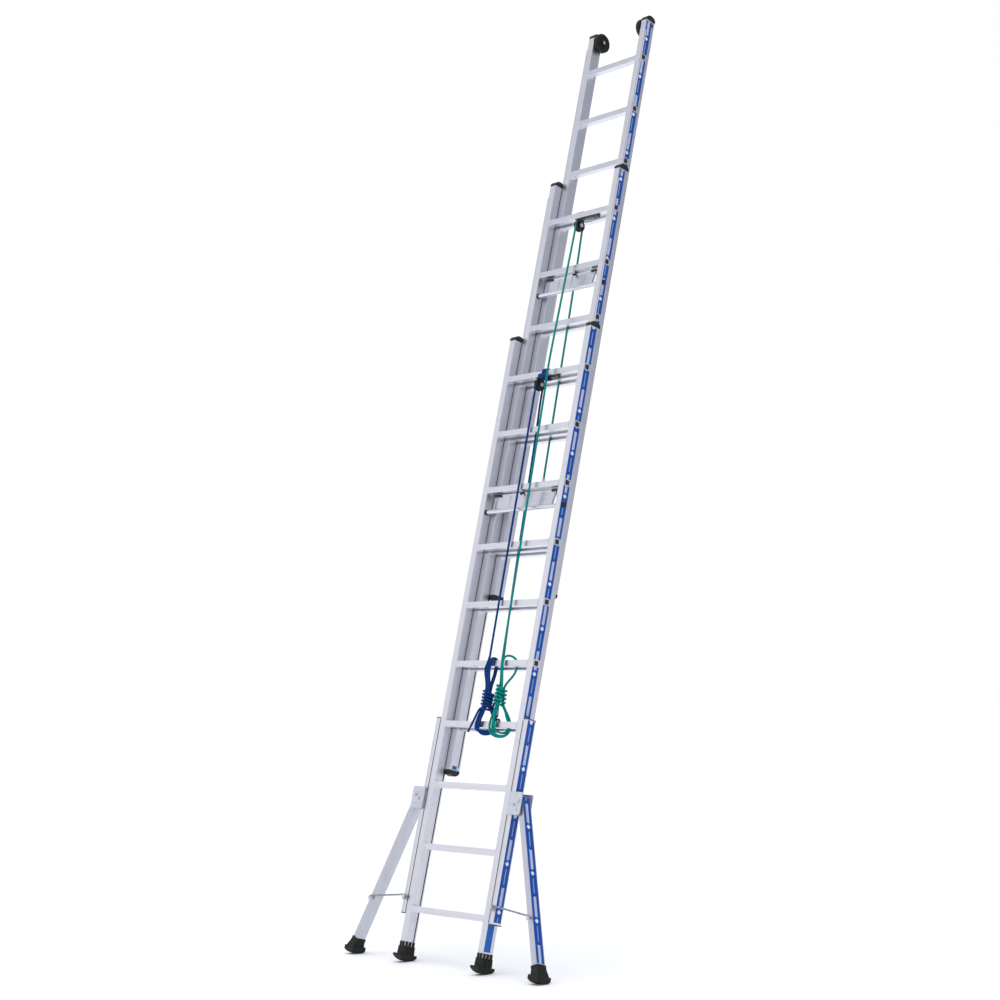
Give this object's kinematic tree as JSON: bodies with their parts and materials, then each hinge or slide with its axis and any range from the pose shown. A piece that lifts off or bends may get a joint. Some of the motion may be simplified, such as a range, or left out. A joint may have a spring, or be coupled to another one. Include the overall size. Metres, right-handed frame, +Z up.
{
  "type": "extension ladder",
  "caption": "Rope-operated aluminium extension ladder with nested sliding sections, catches, pulleys, wall wheels and splayed stabiliser legs.",
  "frame": {"origin": "on the ground, midway between the two rubber feet, on the line where their soles touch", "axes": "+X to the ladder's right as a climber faces it, +Y from the climber towards the wall, +Z up; the rails lean 14 degrees from +Z towards +Y"},
  "size_m": [1.279, 1.3042, 4.4863],
  "materials": {
    "rail_aluminium": "satin extruded, fine lengthwise lines",
    "rung_aluminium": "satin, ribbed tread",
    "black_moulding": "textured moulding",
    "plug_grey": "moulded plug",
    "black_rubber": "grained rubber",
    "zinc_steel": "zinc plated",
    "blue_rope": "braided cord",
    "green_rope": "braided cord"
  },
  "bodies": {
    "base": {"base_rail_right": "rail_aluminium", "base_rail_left": "rail_aluminium", "base_rungs": "rung_aluminium", "base_rung_collars": "rung_aluminium", "base_rung_plugs": "plug_grey", "base_rail_caps": "black_moulding", "base_feet": "black_rubber", "base_pulley_bracket": "zinc_steel", "base_pulley_bolts": "zinc_steel", "base_latch_pins": "black_moulding", "stab_channels": "rail_aluminium", "stab_channel_caps": "black_moulding", "stab_studs_and_rivets": "zinc_steel", "blue_rope_front": "blue_rope", "blue_rope_rear": "blue_rope", "blue_rope_tie": "blue_rope", "blue_hank": "blue_rope", "blue_rope_tail": "blue_rope", "green_rope_front": "green_rope", "green_hank": "green_rope"},
    "middle": {"middle_rail_right": "rail_aluminium", "middle_rail_left": "rail_aluminium", "middle_rungs": "rung_aluminium", "middle_rung_collars": "rung_aluminium", "middle_rung_plugs": "plug_grey", "middle_rail_caps": "black_moulding", "middle_guide_plates": "zinc_steel", "middle_pulley_bracket": "zinc_steel", "middle_pulley_bolts": "zinc_steel", "middle_latch_pins": "black_moulding", "middle_rope_anchor": "zinc_steel", "green_rope_rear": "green_rope"},
    "top": {"top_rail_right": "rail_aluminium", "top_rail_left": "rail_aluminium", "top_rungs": "rung_aluminium", "top_rung_collars": "rung_aluminium", "top_rung_plugs": "plug_grey", "top_rail_caps": "black_moulding", "top_rope_anchor": "zinc_steel", "top_wheel_bolts": "zinc_steel"},
    "base_pulley": {"base_pulley_wheel": "black_moulding"},
    "middle_pulley": {"middle_pulley_wheel": "black_moulding"},
    "base_latch": {"base_latch_flap": "rung_aluminium", "base_latch_fittings": "black_moulding"},
    "middle_latch": {"middle_latch_flap": "rung_aluminium", "middle_latch_fittings": "black_moulding"},
    "wheel_right": {"top_wheel_right": "black_rubber"},
    "wheel_left": {"top_wheel_left": "black_rubber"},
    "stab_bracket_right": {"stab_bracket_right": "zinc_steel", "stab_pins_right": "zinc_steel"},
    "stab_leg_right": {"stab_leg_right": "rail_aluminium", "stab_leg_stud_right": "zinc_steel", "stab_leg_ends_right": "black_rubber"},
    "stab_strut_right": {"stab_strut_right": "zinc_steel"},
    "stab_bracket_left": {"stab_bracket_left": "zinc_steel", "stab_pins_left": "zinc_steel"},
    "stab_leg_left": {"stab_leg_left": "rail_aluminium", "stab_leg_stud_left": "zinc_steel", "stab_leg_ends_left": "black_rubber"},
    "stab_strut_left": {"stab_strut_left": "zinc_steel"}
  },
  "joints": [
    {"name": "middle_slide", "type": "slide", "parent": "base", "child": "middle", "axis": [0, 0.2419, 0.9703], "range_m": [-0.56, 1.12], "deforming": ["blue_rope_rear", "green_rope_front"]},
    {"name": "top_slide", "type": "slide", "parent": "middle", "child": "top", "axis": [0, 0.2419, 0.9703], "range_m": [-0.56, 1.12], "deforming": ["green_rope_rear"]},
    {"name": "base_pulley_spin", "type": "hinge", "parent": "base", "child": "base_pulley", "pos_m": [-0.028, 0.62559, 2.62129], "axis": [1, 0, 0], "continuous": true},
    {"name": "middle_pulley_spin", "type": "hinge", "parent": "middle", "child": "middle_pulley", "pos_m": [0.003, 0.87126, 3.41854], "axis": [1, 0, 0], "continuous": true},
    {"name": "base_latch_swing", "type": "hinge", "parent": "base", "child": "base_latch", "pos_m": [0, 0.47693, 2.02505], "axis": [1, 0, 0], "range_deg": [0, 10]},
    {"name": "middle_latch_swing", "type": "hinge", "parent": "middle", "child": "middle_latch", "pos_m": [0, 0.79033, 3.09398], "axis": [1, 0, 0], "range_deg": [0, 10]},
    {"name": "wheel_right_spin", "type": "hinge", "parent": "top", "child": "wheel_right", "pos_m": [0.1455, 1.19343, 4.43582], "axis": [1, 0, 0], "continuous": true},
    {"name": "wheel_left_spin", "type": "hinge", "parent": "top", "child": "wheel_left", "pos_m": [-0.1455, 1.19343, 4.43582], "axis": [1, 0, 0], "continuous": true},
    {"name": "stab_bracket_right_slide", "type": "slide", "parent": "base", "child": "stab_bracket_right", "axis": [0, 0.2419, 0.9703], "range_m": [-0.06, 0]},
    {"name": "stab_leg_right_fold", "type": "hinge", "parent": "stab_bracket_right", "child": "stab_leg_right", "pos_m": [0.343, 0.15118, 0.71854], "axis": [0, 0.9703, -0.2419], "range_deg": [0, 20.5]},
    {"name": "stab_strut_right_lift", "type": "hinge", "parent": "base", "child": "stab_strut_right", "pos_m": [0.29, 0.01054, 0.27849], "axis": [0, 0.9703, -0.2419], "range_deg": [-75, 0]},
    {"name": "stab_bracket_left_slide", "type": "slide", "parent": "base", "child": "stab_bracket_left", "axis": [0, 0.2419, 0.9703], "range_m": [-0.06, 0]},
    {"name": "stab_leg_left_fold", "type": "hinge", "parent": "stab_bracket_left", "child": "stab_leg_left", "pos_m": [-0.343, 0.15118, 0.71854], "axis": [0, 0.9703, -0.2419], "range_deg": [-20.5, 0]},
    {"name": "stab_strut_left_lift", "type": "hinge", "parent": "base", "child": "stab_strut_left", "pos_m": [-0.29, 0.01054, 0.27849], "axis": [0, 0.9703, -0.2419], "range_deg": [0, 75]}
  ],
  "couplings": [
    {"joint": "base_pulley_spin", "follows": "middle_slide", "rad_per_m": 43.956},
    {"joint": "middle_pulley_spin", "follows": "top_slide", "rad_per_m": 43.956}
  ]
}
